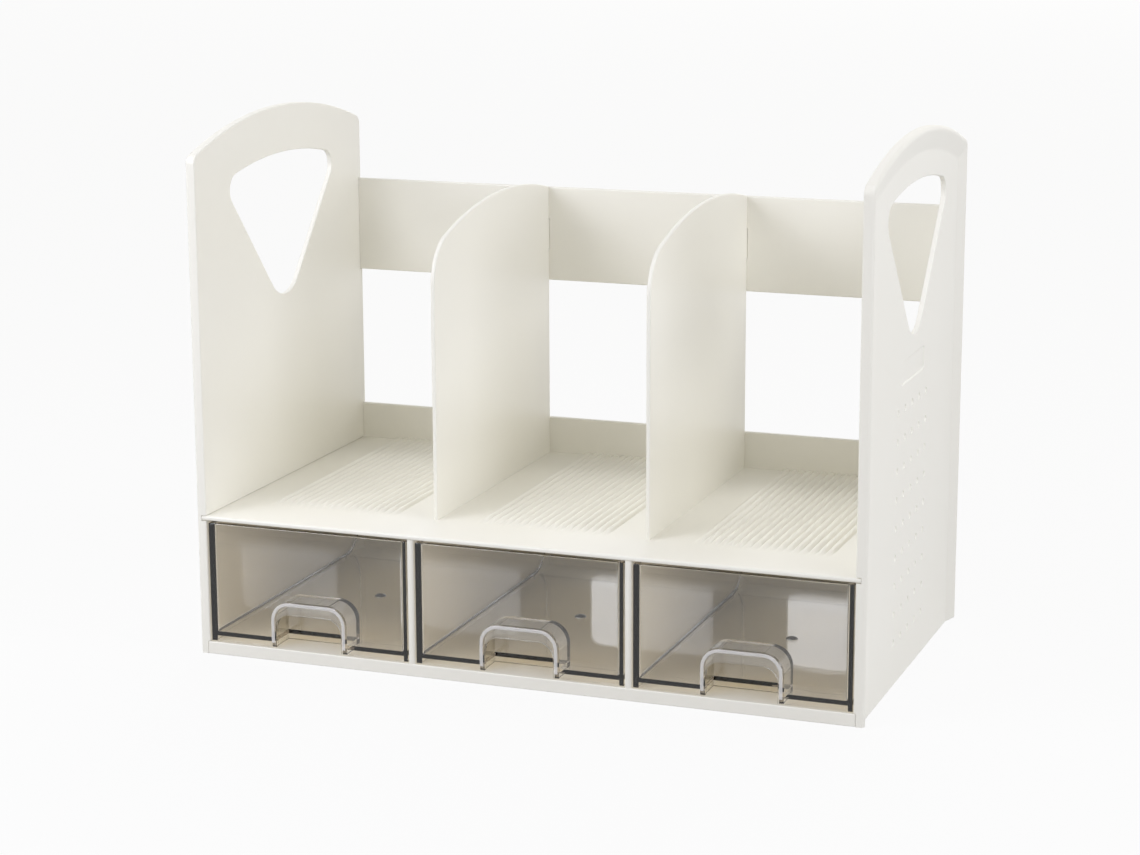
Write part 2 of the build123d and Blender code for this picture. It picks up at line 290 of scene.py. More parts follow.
class Skin:
    """Gathers the surfaces of one piece, in millimetres, and writes them as one closed mesh."""

    def __init__(self) -> None:
        """Start with no surfaces."""
        self.points: list[Array] = []
        self.faces: list[list[int]] = []
        self.count = 0

    def add(self, points: Array, faces: Array) -> None:
        """Add points and the faces between them.

        Args:
            points: Points of shape (..., 3).
            faces: Corners of each face, as numbers of these points from 0.
        """
        self.points.append(points.reshape(-1, 3))
        self.faces.extend((faces + self.count).tolist())
        self.count += len(self.points[-1])

    def grid(self, rows: Array, closed: bool = True) -> None:
        """Join neighbouring rows of points with four-sided faces.

        Args:
            rows: Points of shape (rows, points, 3).
            closed: Whether each row's last point joins its first.
        """
        row_count, point_count = rows.shape[:2]
        number = np.arange(row_count * point_count).reshape(row_count, point_count)
        ahead = np.roll(number, -1, axis=1)
        used = slice(None) if closed else slice(0, -1)
        corners = (number[:-1, used], ahead[:-1, used], ahead[1:, used], number[1:, used])
        self.add(rows, np.stack(corners, axis=-1).reshape(-1, 4))

    def fill(self, loops: Sequence[Array]) -> None:
        """Close a flat outline, less the holes in it, with triangles.

        Args:
            loops: Closed loops of shape (n, 3): the outline, then its holes.
        """
        outlines = [[Vector(point) for point in loop] for loop in loops]
        self.add(np.concatenate(loops), np.array(tessellate_polygon(outlines)))

    def wall(
        self, sheet: Sheet, loop: Array, thickness: Range, radius: float, inward: int, steps: int
    ) -> tuple[Array, Array]:
        """Wall along a closed loop, with a quarter round where it meets each of two faces.

        Args:
            sheet: Plane of the loop.
            loop: Counter-clockwise loop of shape (n, 2).
            thickness: Low and high place of the two faces.
            radius: Radius of the quarter rounds.
            inward: 1 where the plastic lies inside the loop, -1 where the loop is a hole.
            steps: Steps in each quarter round.

        Returns:
            The wall's loops in the low face and in the high face.
        """
        low, high = thickness
        inset, depth = quarter_round(radius, steps)
        offsets = inward * np.concatenate((inset, inset[::-1]))
        places = np.concatenate((low + depth, high - depth[::-1]))
        rows = np.stack([sheet.lift(shift_loop(loop, o), p) for o, p in zip(offsets, places)])
        self.grid(rows)
        return rows[0], rows[-1]

    def plate(
        self, sheet: Sheet, loops: Sequence[Array], thickness: Range, radii: Sequence[float],
        steps: int = 4,
    ) -> None:
        """Plate with holes: a wall along each loop, between two flat faces.

        Args:
            sheet: Plane of the outlines.
            loops: Counter-clockwise loops of shape (n, 2): the outline, then its holes.
            thickness: Low and high place of the two faces.
            radii: Edge radius of each loop.
            steps: Steps in each quarter round.
        """
        walls = []
        for index, (loop, radius) in enumerate(zip(loops, radii)):
            inward = 1 if index == 0 else -1
            walls.append(self.wall(sheet, loop, thickness, radius, inward, steps))
        for face in zip(*walls):
            self.fill(face)

    def tube(self, rows: Array) -> None:
        """Closed tube: joined rows, with a flat cap on the first and the last.

        Args:
            rows: Points of shape (rows, points, 3).
        """
        self.grid(rows)
        self.fill([rows[0]])
        self.fill([rows[-1]])

    def mesh_object(self, name: str, flip_x: bool = False) -> bpy.types.Object:
        """Write the gathered surfaces as a closed mesh with outward faces.

        Args:
            name: Name of the object and its mesh.
            flip_x: Whether the piece is mirrored across the middle plane.

        Returns:
            The new object, linked to the scene.
        """
        points = np.concatenate(self.points) * MM
        if flip_x:
            points = points * (-1, 1, 1)
        mesh = bpy.data.meshes.new(name)
        mesh.from_pydata(points.tolist(), [], self.faces)
        close_mesh(mesh)
        return add_object(name, mesh)


def close_mesh(mesh: bpy.types.Mesh) -> None:
    """Merge the doubles of a mesh, dissolve its flat seams and turn its faces outwards.

    Args:
        mesh: Mesh that changes.
    """
    build = bmesh.new()
    build.from_mesh(mesh)
    bmesh.ops.remove_doubles(build, verts=build.verts, dist=MERGE_DISTANCE)
    bmesh.ops.dissolve_degenerate(build, edges=build.edges, dist=MERGE_DISTANCE)
    bmesh.ops.recalc_face_normals(build, faces=build.faces)
    bmesh.ops.dissolve_limit(build, angle_limit=FLAT_ANGLE, verts=build.verts, edges=build.edges)
    if build.calc_volume(signed=True) < 0:
        bmesh.ops.reverse_faces(build, faces=build.faces)
    build.to_mesh(mesh)
    build.free()


def crease_flat_faces(mesh: bpy.types.Mesh) -> None:
    """Shade a mesh smooth, with a crease round each large flat face so that it stays true.

    Args:
        mesh: Mesh that changes.
    """
    build = bmesh.new()
    build.from_mesh(mesh)
    for edge in build.edges:
        bend = edge.calc_face_angle(0.0)
        largest = max(face.calc_area() for face in edge.link_faces)
        edge.smooth = bend < FLAT_ANGLE or (bend < SMOOTH_ANGLE and largest < FLAT_AREA)
    for face in build.faces:
        face.smooth = True
    build.to_mesh(mesh)
    build.free()


def smooth(shown: bpy.types.Object) -> None:
    """Shade a piece smooth, with sharp corners kept and flat faces kept flat.

    Args:
        shown: Piece that changes.
    """
    shown.data.shade_smooth()
    shown.data.set_sharp_from_angle(angle=SMOOTH_ANGLE)
    weighted = shown.modifiers.new("flat_faces", "WEIGHTED_NORMAL")
    weighted.keep_sharp = True
    weighted.weight = LARGEST_FACE_WINS


def merge(shown: bpy.types.Object, other: bpy.types.Object, change: Change) -> None:
    """Join another mesh to a piece or cut it away, for good, and remove the other mesh.

    Args:
        shown: Piece that changes.
        other: Closed mesh that is used up.
        change: Whether the other mesh is joined on or cut away.
    """
    step = shown.modifiers.new("merge", "BOOLEAN")
    step.object = other
    step.operation = change.value
    step.solver = "MANIFOLD"
    bpy.context.view_layer.update()
    evaluated = shown.evaluated_get(bpy.context.evaluated_depsgraph_get())
    merged = bpy.data.meshes.new_from_object(evaluated)
    shown.modifiers.remove(step)
    used_up = (shown.data, other.data)
    shown.data = merged
    bpy.data.objects.remove(other)
    for mesh in used_up:
        bpy.data.meshes.remove(mesh)
    merged.name = shown.name


def carve(shown: bpy.types.Object, boxes: Sequence[Box]) -> None:
    """Cut boxes out of a piece for good.

    Args:
        shown: Piece to cut.
        boxes: Limits of each box on X, Y and Z.
    """
    for box in boxes:
        low, high = np.array(box).T
        outline = rounded_rectangle((low + high)[1:] / 2, (high - low)[1:])
        cutter = Skin()
        cutter.tube(np.stack([Sheet.YZ.lift(outline, x) for x in (low[0], high[0])]))
        merge(shown, cutter.mesh_object("cutter"), Change.CUT)


class Value:
    """A shader socket that takes part in arithmetic: each operation adds a Math node."""

    def __init__(self, graph: "Graph", socket: bpy.types.NodeSocket | None) -> None:
        """Wrap an output socket of a graph, or nothing for a node without outputs."""
        self.graph = graph
        self.socket = socket

    def combine(self, operation: str, first: "Value | float", second: "Value | float") -> "Value":
        """Add a Math node with two inputs."""
        return self.graph.node("ShaderNodeMath", {"operation": operation}, {0: first, 1: second})

    def __add__(self, other: "Value | float") -> "Value":
        """Sum."""
        return self.combine("ADD", self, other)

    def __radd__(self, other: float) -> "Value":
        """Sum with a number first."""
        return self.combine("ADD", other, self)

    def __mul__(self, other: "Value | float") -> "Value":
        """Product."""
        return self.combine("MULTIPLY", self, other)

    def __rmul__(self, other: float) -> "Value":
        """Product with a number first."""
        return self.combine("MULTIPLY", other, self)

    def __or__(self, other: "Value | float") -> "Value":
        """Larger of the two."""
        return self.combine("MAXIMUM", self, other)

    def __ror__(self, other: float) -> "Value":
        """Larger of the two, with a number first."""
        return self.combine("MAXIMUM", other, self)


class Graph:
    """Node tree of a material or the world."""

    def __init__(self, tree: bpy.types.NodeTree) -> None:
        """Empty the tree."""
        self.tree = tree
        tree.nodes.clear()

    def node(
        self, kind: str, settings: dict[str, object] | None = None,
        inputs: dict[int | str, object] | None = None, output: int | str = 0,
    ) -> Value:
        """Add a node.

        Args:
            kind: Node type.
            settings: Properties of the node, set before its sockets.
            inputs: Values or links by socket name or number, with a colour as three numbers.
            output: Name or number of the output that is returned.

        Returns:
            The chosen output.
        """
        made = self.tree.nodes.new(kind)
        for name, setting in (settings or {}).items():
            setattr(made, name, setting)
        for name, given in (inputs or {}).items():
            socket = made.inputs[name]
            if isinstance(given, Value):
                self.tree.links.new(given.socket, socket)
            else:
                socket.default_value = (*given, 1.0) if socket.type == "RGBA" else given
        return Value(self, made.outputs[output] if made.outputs else None)

    def seen_ray(self) -> Value:
        """Mask of the rays that show a surface to the eye.

        Returns:
            One for camera, glossy and transmission rays, and nought for the rays that carry light.
        """
        kinds = ("Is Camera Ray", "Is Glossy Ray", "Is Transmission Ray")
        camera, glossy, passed = (self.node("ShaderNodeLightPath", output=kind) for kind in kinds)
        return camera | glossy | passed

    def light_ray(self) -> Value:
        """One for rays that carry light to a matt surface, which pass a clear wall without bending."""
        shadow = self.node("ShaderNodeLightPath", output="Is Shadow Ray")
        return shadow | self.node("ShaderNodeLightPath", output="Is Diffuse Ray")

    def noise(self, scale: float, detail: float) -> Value:
        """Noise from 0 to 1 on the piece's own coordinates."""
        place = self.node("ShaderNodeTexCoord", output="Object")
        return self.node("ShaderNodeTexNoise", None, {"Vector": place, "Scale": scale, "Detail": detail})

    def bump(self, height: Value, depth: float, strength: float) -> Value:
        """Normal of a surface that a height raises by up to a depth in millimetres."""
        inputs = {"Height": height, "Distance": depth * MM, "Strength": strength}
        return self.node("ShaderNodeBump", None, inputs)

    def mix_colours(self, share: Value, first: Colour, second: Colour) -> Value:
        """Mix of two colours, with the share of the second."""
        inputs = {"Factor": share, MIX_FIRST_COLOUR: first, MIX_SECOND_COLOUR: second}
        return self.node("ShaderNodeMix", {"data_type": "RGBA"}, inputs, MIX_COLOUR_RESULT)

    def mix_shaders(self, share: Value, first: Value, second: Value) -> Value:
        """Mix of two shaders, with the share of the second."""
        return self.node("ShaderNodeMixShader", None, {0: share, 1: first, 2: second})


def new_material(name: str) -> tuple[bpy.types.Material, Graph]:
    """Make a material with an empty node graph.

    Args:
        name: Name of the material.

    Returns:
        The material and its graph.
    """
    made = bpy.data.materials.new(name)
    made.use_nodes = True
    return made, Graph(made.node_tree)


@dataclass(frozen=True)
class WhitePlastic:
    """Satin white moulding: faint cloudiness, uneven gloss and a fine moulded grain."""

    colour: Colour = (0.870, 0.852, 0.780)
    cloud_colour: Colour = (0.884, 0.870, 0.806)
    cloud_scale: float = 14.0
    cloud_detail: float = 3.0
    roughness: float = 0.38
    roughness_swing: float = 0.08
    gloss_scale: float = 60.0
    gloss_detail: float = 2.0
    grain_scale: float = 2600.0
    grain_detail: float = 2.0
    grain_depth: float = 0.02
    grain_strength: float = 0.06
    ior: float = 1.5

    def material(self) -> bpy.types.Material:
        """Mix two whites by a cloud, swing the roughness about its middle and raise a fine grain.

        Returns:
            The material.
        """
        made, graph = new_material("white_moulded_plastic")
        cloud = graph.noise(self.cloud_scale, self.cloud_detail)
        gloss = graph.noise(self.gloss_scale, self.gloss_detail)
        grain = graph.noise(self.grain_scale, self.grain_detail)
        shader = graph.node(
            "ShaderNodeBsdfPrincipled", None,
            {
                "Base Color": graph.mix_colours(cloud, self.colour, self.cloud_colour),
                "Roughness": gloss * self.roughness_swing + (self.roughness - self.roughness_swing / 2),
                "IOR": self.ior,
                "Normal": graph.bump(grain, self.grain_depth, self.grain_strength),
            },
        )
        graph.node("ShaderNodeOutputMaterial", None, {"Surface": shader})
        return made


@dataclass(frozen=True)
class SmokePlastic:
    """Clear smoke-tinted polystyrene: dark where the eye looks along a wall, slightly wavy."""

    ior: float = 1.59
    roughness: float = 0.012
    absorb_colour: Colour = (0.58, 0.52, 0.66)
    absorb_density: float = 7.0
    film_colour: Colour = (1.0, 0.970, 0.905)
    wave_scale: float = 26.0
    wave_detail: float = 1.0
    wave_depth: float = 0.6
    wave_strength: float = 0.12

    def material(self) -> bpy.types.Material:
        """Clear wavy plastic that absorbs with depth, and is a plain film to the rays that carry light.

        Returns:
            The material.
        """
        made, graph = new_material("smoke_tub_plastic")
        wave = graph.noise(self.wave_scale, self.wave_detail)
        shader = graph.node(
            "ShaderNodeBsdfPrincipled", None,
            {
                "Base Color": PURE_WHITE,
                "Roughness": self.roughness,
                "IOR": self.ior,
                "Transmission Weight": 1.0,
                "Normal": graph.bump(wave, self.wave_depth, self.wave_strength),
            },
        )
        absorbed = {"Color": self.absorb_colour, "Density": self.absorb_density}
        tint = graph.node("ShaderNodeVolumeAbsorption", None, absorbed)
        film = graph.node("ShaderNodeBsdfTransparent", None, {"Color": self.film_colour})
        mixed = graph.mix_shaders(graph.light_ray(), shader, film)
        graph.node("ShaderNodeOutputMaterial", None, {"Surface": mixed, "Volume": tint})
        return made


@dataclass(frozen=True)
class PaintedNicheHighlight:
    """Painted highlight: a milky strip laid as a rolled edge round the niche in the clear plastic, in
    place of the gleam that the edge catches.
    """

    # The pale colour and the cover paint the highlight that the niche's clear edge catches.
    colour: Colour = (0.95, 0.95, 0.96)
    cover: float = 0.42
    roughness: float = 0.2

    def material(self) -> bpy.types.Material:
        """Pale plastic, a painted highlight, that covers a share of what lies behind it.

        Returns:
            The material.
        """
        made, graph = new_material("painted_highlight_plastic")
        shader = graph.node(
            "ShaderNodeBsdfPrincipled", None,
            {"Base Color": self.colour, "Roughness": self.roughness, "Alpha": self.cover},
        )
        graph.node("ShaderNodeOutputMaterial", None, {"Surface": shader})
        return made


@dataclass(frozen=True)
class PaleFloor:
    """White floor that the eye sees as the backdrop, with a light shadow left on it."""

    colour: Colour = (0.62, 0.62, 0.62)
    glow_share: float = 0.92

    def material(self) -> bpy.types.Material:
        """Matt paint to the rays that carry light, and mostly a white glow to the eye.

        Returns:
            The material.
        """
        made, graph = new_material("pale_floor")
        paint = graph.node("ShaderNodeBsdfDiffuse", None, {"Color": self.colour})
        glow = graph.node("ShaderNodeEmission", None, {"Color": PURE_WHITE, "Strength": 1.0})
        mixed = graph.mix_shaders(graph.seen_ray() * self.glow_share, paint, glow)
        graph.node("ShaderNodeOutputMaterial", None, {"Surface": mixed})
        return made


@dataclass(frozen=True)
class Finishes:
    """The materials of the object."""

    white: bpy.types.Material
    smoke: bpy.types.Material
    niche_highlight: bpy.types.Material


@dataclass(frozen=True)
class Joinery:
    """Sizes of the tongues, tabs and slots that hold the boards together."""

    board: float = 2.4
    clearance: float = 0.2
    slot_edge: float = 0.15
    deck_tongue: float = 1.4
    deck_ear: float = 2.4
    deck_ear_depth: float = 4.0
    base_tongue: float = 1.0
    back_tongue: float = 2.4
    tab_width: float = 24.0
    divider_tab_height: float = 16.0
    divider_tab_drop: float = 25.0


@dataclass(frozen=True)
class Layout:
    """Places that several pieces share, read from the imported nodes."""

    joinery: Joinery
    half_width: float
    inner_half: float
    front: float
    back: float
    back_inner: float
    deck_top: float
    deck_bottom: float
    base_top: float
    rail_heights: Range
    back_top: float
    bay_centres: tuple[float, ...]
    divider_spans: tuple[Range, ...]

    @classmethod
    def read(cls, joinery: Joinery) -> "Layout":
        """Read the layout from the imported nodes.

        Args:
            joinery: Sizes of the joints, with the thickness of the deck and the base board.

        Returns:
            The shared places.
        """
        panel_low, panel_high = node_box("right_side_panel")
        back_low, back_high = node_box("back_panel")
        rail_low, rail_high = node_box("top_rail")
        base_high = node_box("base_board")[1]
        deck_bottom = float(node_box("left_bay_partition")[1][2])
        drawers = [node_box(body.value) for body in DRAWERS]
        dividers = [node_box(side.node("book_divider")) for side in Side]
        return cls(
            joinery=joinery,
            half_width=float(panel_high[0]),
            inner_half=float(panel_low[0]),
            front=float(panel_low[1]),
            back=float(panel_high[1]),
            back_inner=float(back_low[1]),
            deck_top=deck_bottom + joinery.board,
            deck_bottom=deck_bottom,
            base_top=float(base_high[2]),
            rail_heights=(float(rail_low[2]), float(rail_high[2])),
            back_top=float(back_high[2]),
            bay_centres=tuple(float(low[0] + high[0]) / 2 for low, high in drawers),
            divider_spans=tuple((float(low[0]), float(high[0])) for low, high in dividers),
        )


@dataclass
class Piece:
    """What every sub-assembly has: its places, its finishes and a way to seat a finished mesh."""

    layout: Layout
    finishes: Finishes

    def build(self) -> None:
        """Build and dress the pieces of this sub-assembly."""
        raise NotImplementedError

    def seat(
        self, shown: bpy.types.Object, node: str, material: bpy.types.Material, slot: Slot, body: Body
    ) -> None:
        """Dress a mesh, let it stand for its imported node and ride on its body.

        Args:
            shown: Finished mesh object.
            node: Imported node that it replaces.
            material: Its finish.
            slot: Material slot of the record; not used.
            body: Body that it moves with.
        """
        shown.data.materials.clear()
        shown.data.materials.append(material)
        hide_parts(node)
        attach(shown, body.value)
        log.info("%s: %d faces", shown.name, len(shown.data.polygons))

    def mould(self, skin: Skin, node: str, flip_x: bool = False, cuts: Sequence[Box] = ()) -> None:
        """Make a white piece of the housing from its surfaces and seat it.

        Args:
            skin: Surfaces of the piece.
            node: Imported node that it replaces.
            flip_x: Whether the piece is mirrored across the middle plane.
            cuts: Boxes that are cut out of it.
        """
        shown = skin.mesh_object(f"{node}_moulding", flip_x)
        carve(shown, cuts)
        smooth(shown)
        self.seat(shown, node, self.finishes.white, Slot.WHITE, Body.HOUSING)


@dataclass
class SidePanels(Piece):
    """Arched sides: a bevelled frame round a sunk field with a handle hole, dimples and a bare plate."""

    apex: float = 264.0
    arch_radius: float = 290.0
    corner_radius: float = 5.0
    outer_edge: float = 1.8
    inner_edge: float = 0.8
    rim: float = 2.4
    bevel: float = 9.0
    recess: float = 2.6
    field_corner: float = 0.8
    bevel_blend: float = 0.7
    handle_drop: float = 24.0
    handle_sharp_width: float = 129.6
    handle_sharp_depth: float = 83.0
    handle_corner: float = 8.0
    handle_tip: float = 18.5
    handle_edge: float = 0.6
    dimple_rows: int = 9
    dimple_columns: int = 5
    dimple_pitch: float = 14.0
    dimple_radius: float = 1.8
    dimple_depth: float = 1.35
    dimple_lip: float = 0.25
    dimple_lip_depth: float = 0.07
    dimple_rings: tuple[float, ...] = (0.94, 0.82, 0.66, 0.46, 0.22)
    dimple_steps: int = 14
    dimple_top_height: float = 133.7
    pattern_centre: float = -2.3
    plate_size: tuple[float, float] = (44.5, 11.0)
    plate_depth: float = 0.6
    plate_corner: float = 1.5
    plate_height: float = 151.5
    plate_slope: float = 0.35
    plate_section: tuple[Range, ...] = ((-1.0, 0.0), (-0.6, 0.15), (0.6, 0.85), (1.0, 1.0))
    overcut: float = 10.0
    edge_steps: int = 6
    corner_steps: int = 8
    arch_steps: int = 96

    def arch(self, inset: float, corner: float) -> Array:
        """Open outline of the panel, drawn in by an inset, from the front foot over the arch to the back.

        The corner circle touches the upright at half - inset and the arch circle from within, so its
        centre lies at height sqrt((R - r)^2 - (half - r)^2) above the arch's centre.

        Args:
            inset: Distance in from the outer outline.
            corner: Corner radius of this outline.

        Returns:
            Points of shape (n, 2).
        """
        half = (self.layout.back - self.layout.front) / 2 - inset
        radius = self.arch_radius - inset
        centre = self.apex - self.arch_radius
        across = half - corner
        rise = sqrt((radius - corner) ** 2 - across**2)
        lean = atan2(rise, across)
        front = arc((-across, centre + rise), corner, pi, pi - lean, self.corner_steps)
        top = arc((0, centre), radius, pi - lean, lean, self.arch_steps)
        back = arc((across, centre + rise), corner, lean, 0, self.corner_steps)
        feet = np.array(((-half, 0.0), (half, 0.0)))
        return np.concatenate((feet[:1], front, top[1:-1], back, feet[1:]))

    def handle(self) -> Array:
        """Closed outline of the handle hole, counter-clockwise.

        The two sides meet at an angle: the tip circle and both corner circles touch the sides, and the
        corner circles touch the top arc from within.

        Returns:
            Points of shape (n, 2).
        """
        half = self.handle_sharp_width / 2
        centre = self.apex - self.arch_radius
        radius = self.arch_radius - self.handle_drop
        shoulder = centre + sqrt(radius**2 - half**2)
        sharp_tip = self.apex - self.handle_drop - self.handle_sharp_depth
        lean = atan2(half, shoulder - sharp_tip)
        tip_middle = sharp_tip + self.handle_tip / sin(lean)
        start = sharp_tip + self.handle_corner / sin(lean) - centre
        reach = radius - self.handle_corner
        along = -start * cos(lean) + sqrt((start * cos(lean)) ** 2 - start**2 + reach**2)
        corner = np.array((along * sin(lean), centre + start + along * cos(lean)))
        top = atan2(corner[1] - centre, corner[0])
        tip = arc((0, tip_middle), self.handle_tip, pi + lean, 2 * pi - lean, 2 * self.corner_steps)
        right = arc(corner, self.handle_corner, -lean, top, 2 * self.corner_steps)
        arch = arc((0, centre), radius, top, pi - top, self.arch_steps // 2)
        left = arc(corner * (-1, 1), self.handle_corner, pi - top, pi + lean, 2 * self.corner_steps)
        return np.concatenate((tip, right, arch[1:-1], left))

    def frame_rows(self, inner: float, outer: float) -> Array:
        """Moulded frame: a section of insets and depths carried along the arch.

        The arch's corner radius falls with the inset as far as the rim goes, and then evenly down the
        bevel to the corner radius of the field.

        Args:
            inner: Place of the inner face.
            outer: Place of the rim's face.

        Returns:
            Rows of shape (section, outline, 3), from the inner face to the field.
        """
        inset_in, depth_in = quarter_round(self.inner_edge, self.edge_steps)
        inset_out, depth_out = quarter_round(self.outer_edge, self.edge_steps)
        top = np.array((self.rim, outer))
        foot = np.array((self.rim + self.bevel, outer - self.recess))
        flat = np.array((self.bevel_blend, 0.0))
        slope = (foot - top) * self.bevel_blend / hypot(self.bevel, self.recess)
        section = np.concatenate((
            np.column_stack((inset_in, inner + depth_in)),
            np.column_stack((inset_out, outer - depth_out))[::-1],
            soft_corner(top - flat, top, top + slope, self.edge_steps),
            soft_corner(foot - slope, foot, foot + flat, self.edge_steps),
        ))
        rim_corner = self.corner_radius - self.rim
        share = np.clip((section[:, 0] - self.rim) / self.bevel, 0, 1)
        corners = np.maximum(self.corner_radius - section[:, 0], rim_corner)
        corners = corners + share * (self.field_corner - rim_corner)
        return np.stack([Sheet.YZ.lift(self.arch(i, c), x) for (i, x), c in zip(section, corners)])

    def dimple_middles(self) -> Array:
        """Middles of the dimples, in even rows and columns on the field.

        Returns:
            Points of shape (n, 2), row by row from the top.
        """
        column = (np.arange(self.dimple_columns) - (self.dimple_columns - 1) / 2) * self.dimple_pitch
        row = self.dimple_top_height - np.arange(self.dimple_rows) * self.dimple_pitch
        across, up = np.meshgrid(column + self.pattern_centre, row)
        return np.column_stack((across.ravel(), up.ravel()))

    def dimple_section(self) -> tuple[Array, Array]:
        """Section of a dimple: a rounded lip, then a ball's cap of the dimple's radius and depth.

        Returns:
            Radii from the rim to nearly the middle, and depths below the field.
        """
        radii = np.array(self.dimple_rings) * self.dimple_radius
        depths = ball_cap(radii, self.dimple_radius, self.dimple_depth)
        lip_radii = (self.dimple_radius + self.dimple_lip, self.dimple_radius)
        lip_depths = (0.0, self.dimple_lip_depth)
        return np.concatenate((lip_radii, radii)), np.concatenate((lip_depths, depths))

    def add_dimples(self, skin: Skin, plane: float) -> list[Array]:
        """Add every dimple as rings round its middle.

        Args:
            skin: Surfaces of the panel.
            plane: Place of the field.

        Returns:
            Outer ring of each dimple, for the field's holes.
        """
        radii, depths = self.dimple_section()
        rims = []
        for middle in self.dimple_middles():
            rows = Sheet.YZ.lift(rings(middle, radii, self.dimple_steps), (plane - depths)[:, None])
            skin.grid(rows)
            skin.fill([rows[-1]])
            rims.append(rows[0])
        return rims

    def add_plate(self, skin: Skin, plane: float) -> Array:
        """Add the shallow pocket of the bare plate: its section holds shares of the slope and the depth.

        Args:
            skin: Surfaces of the panel.
            plane: Place of the field.

        Returns:
            Outer loop of the pocket.
        """
        middle = (self.pattern_centre, self.plate_height)
        outline = rounded_rectangle(middle, self.plate_size, self.plate_corner, self.corner_steps)
        section = np.array(self.plate_section) * (self.plate_slope, self.plate_depth)
        rows = np.stack([Sheet.YZ.lift(shift_loop(outline, i), plane - d) for i, d in section])
        skin.grid(rows)
        skin.fill([rows[-1]])
        return rows[0]

    def seats(self, side: Side) -> list[Box]:
        """Boxes that are cut from the inner face for the deck, base board, back panel and rail.

        Each is as deep as its tongue and a clearance, and reaches past the panel's open sides.

        Args:
            side: Which panel is cut.

        Returns:
            Limits of each box on X, Y and Z.
        """
        here = self.layout
        joint = here.joinery
        clear = joint.clearance
        far = self.overcut
        before = here.front - far
        deck = (here.deck_bottom - clear, here.deck_top + clear)
        rebate = (here.back_inner - clear, here.back + far)
        rail = (here.rail_heights[0] - clear, here.rail_heights[1] + clear)
        cuts = (
            (joint.deck_tongue, (before, here.back_inner), deck),
            (joint.deck_ear, (before, here.front + joint.deck_ear_depth + clear), deck),
            (joint.base_tongue, (before, here.back_inner), (-far, here.base_top + clear)),
            (joint.back_tongue, rebate, (-far, here.back_top + clear)),
            (joint.back_tongue, rebate, rail),
        )
        boxes = []
        for tongue, along, height in cuts:
            ends = (here.inner_half - far, here.inner_half + tongue + clear)
            boxes.append((tuple(sorted(side.value * end for end in ends)), along, height))
        return boxes

    def build(self) -> None:
        """Build both panels: the right one, and its mirror image."""
        inner = self.layout.inner_half
        outer = self.layout.half_width
        plane = outer - self.recess
        skin = Skin()
        rows = self.frame_rows(inner, outer)
        skin.grid(rows, closed=False)
        skin.fill([np.concatenate((rows[:, 0], rows[::-1, -1]))])
        hole_inside, hole_outside = skin.wall(
            Sheet.YZ, self.handle(), (inner, plane), self.handle_edge, -1, self.edge_steps
        )
        skin.fill([rows[0], hole_inside])
        skin.fill([rows[-1], hole_outside, self.add_plate(skin, plane), *self.add_dimples(skin, plane)])
        for side in Side:
            self.mould(skin, side.node("side_panel"), side is Side.LEFT, self.seats(side))


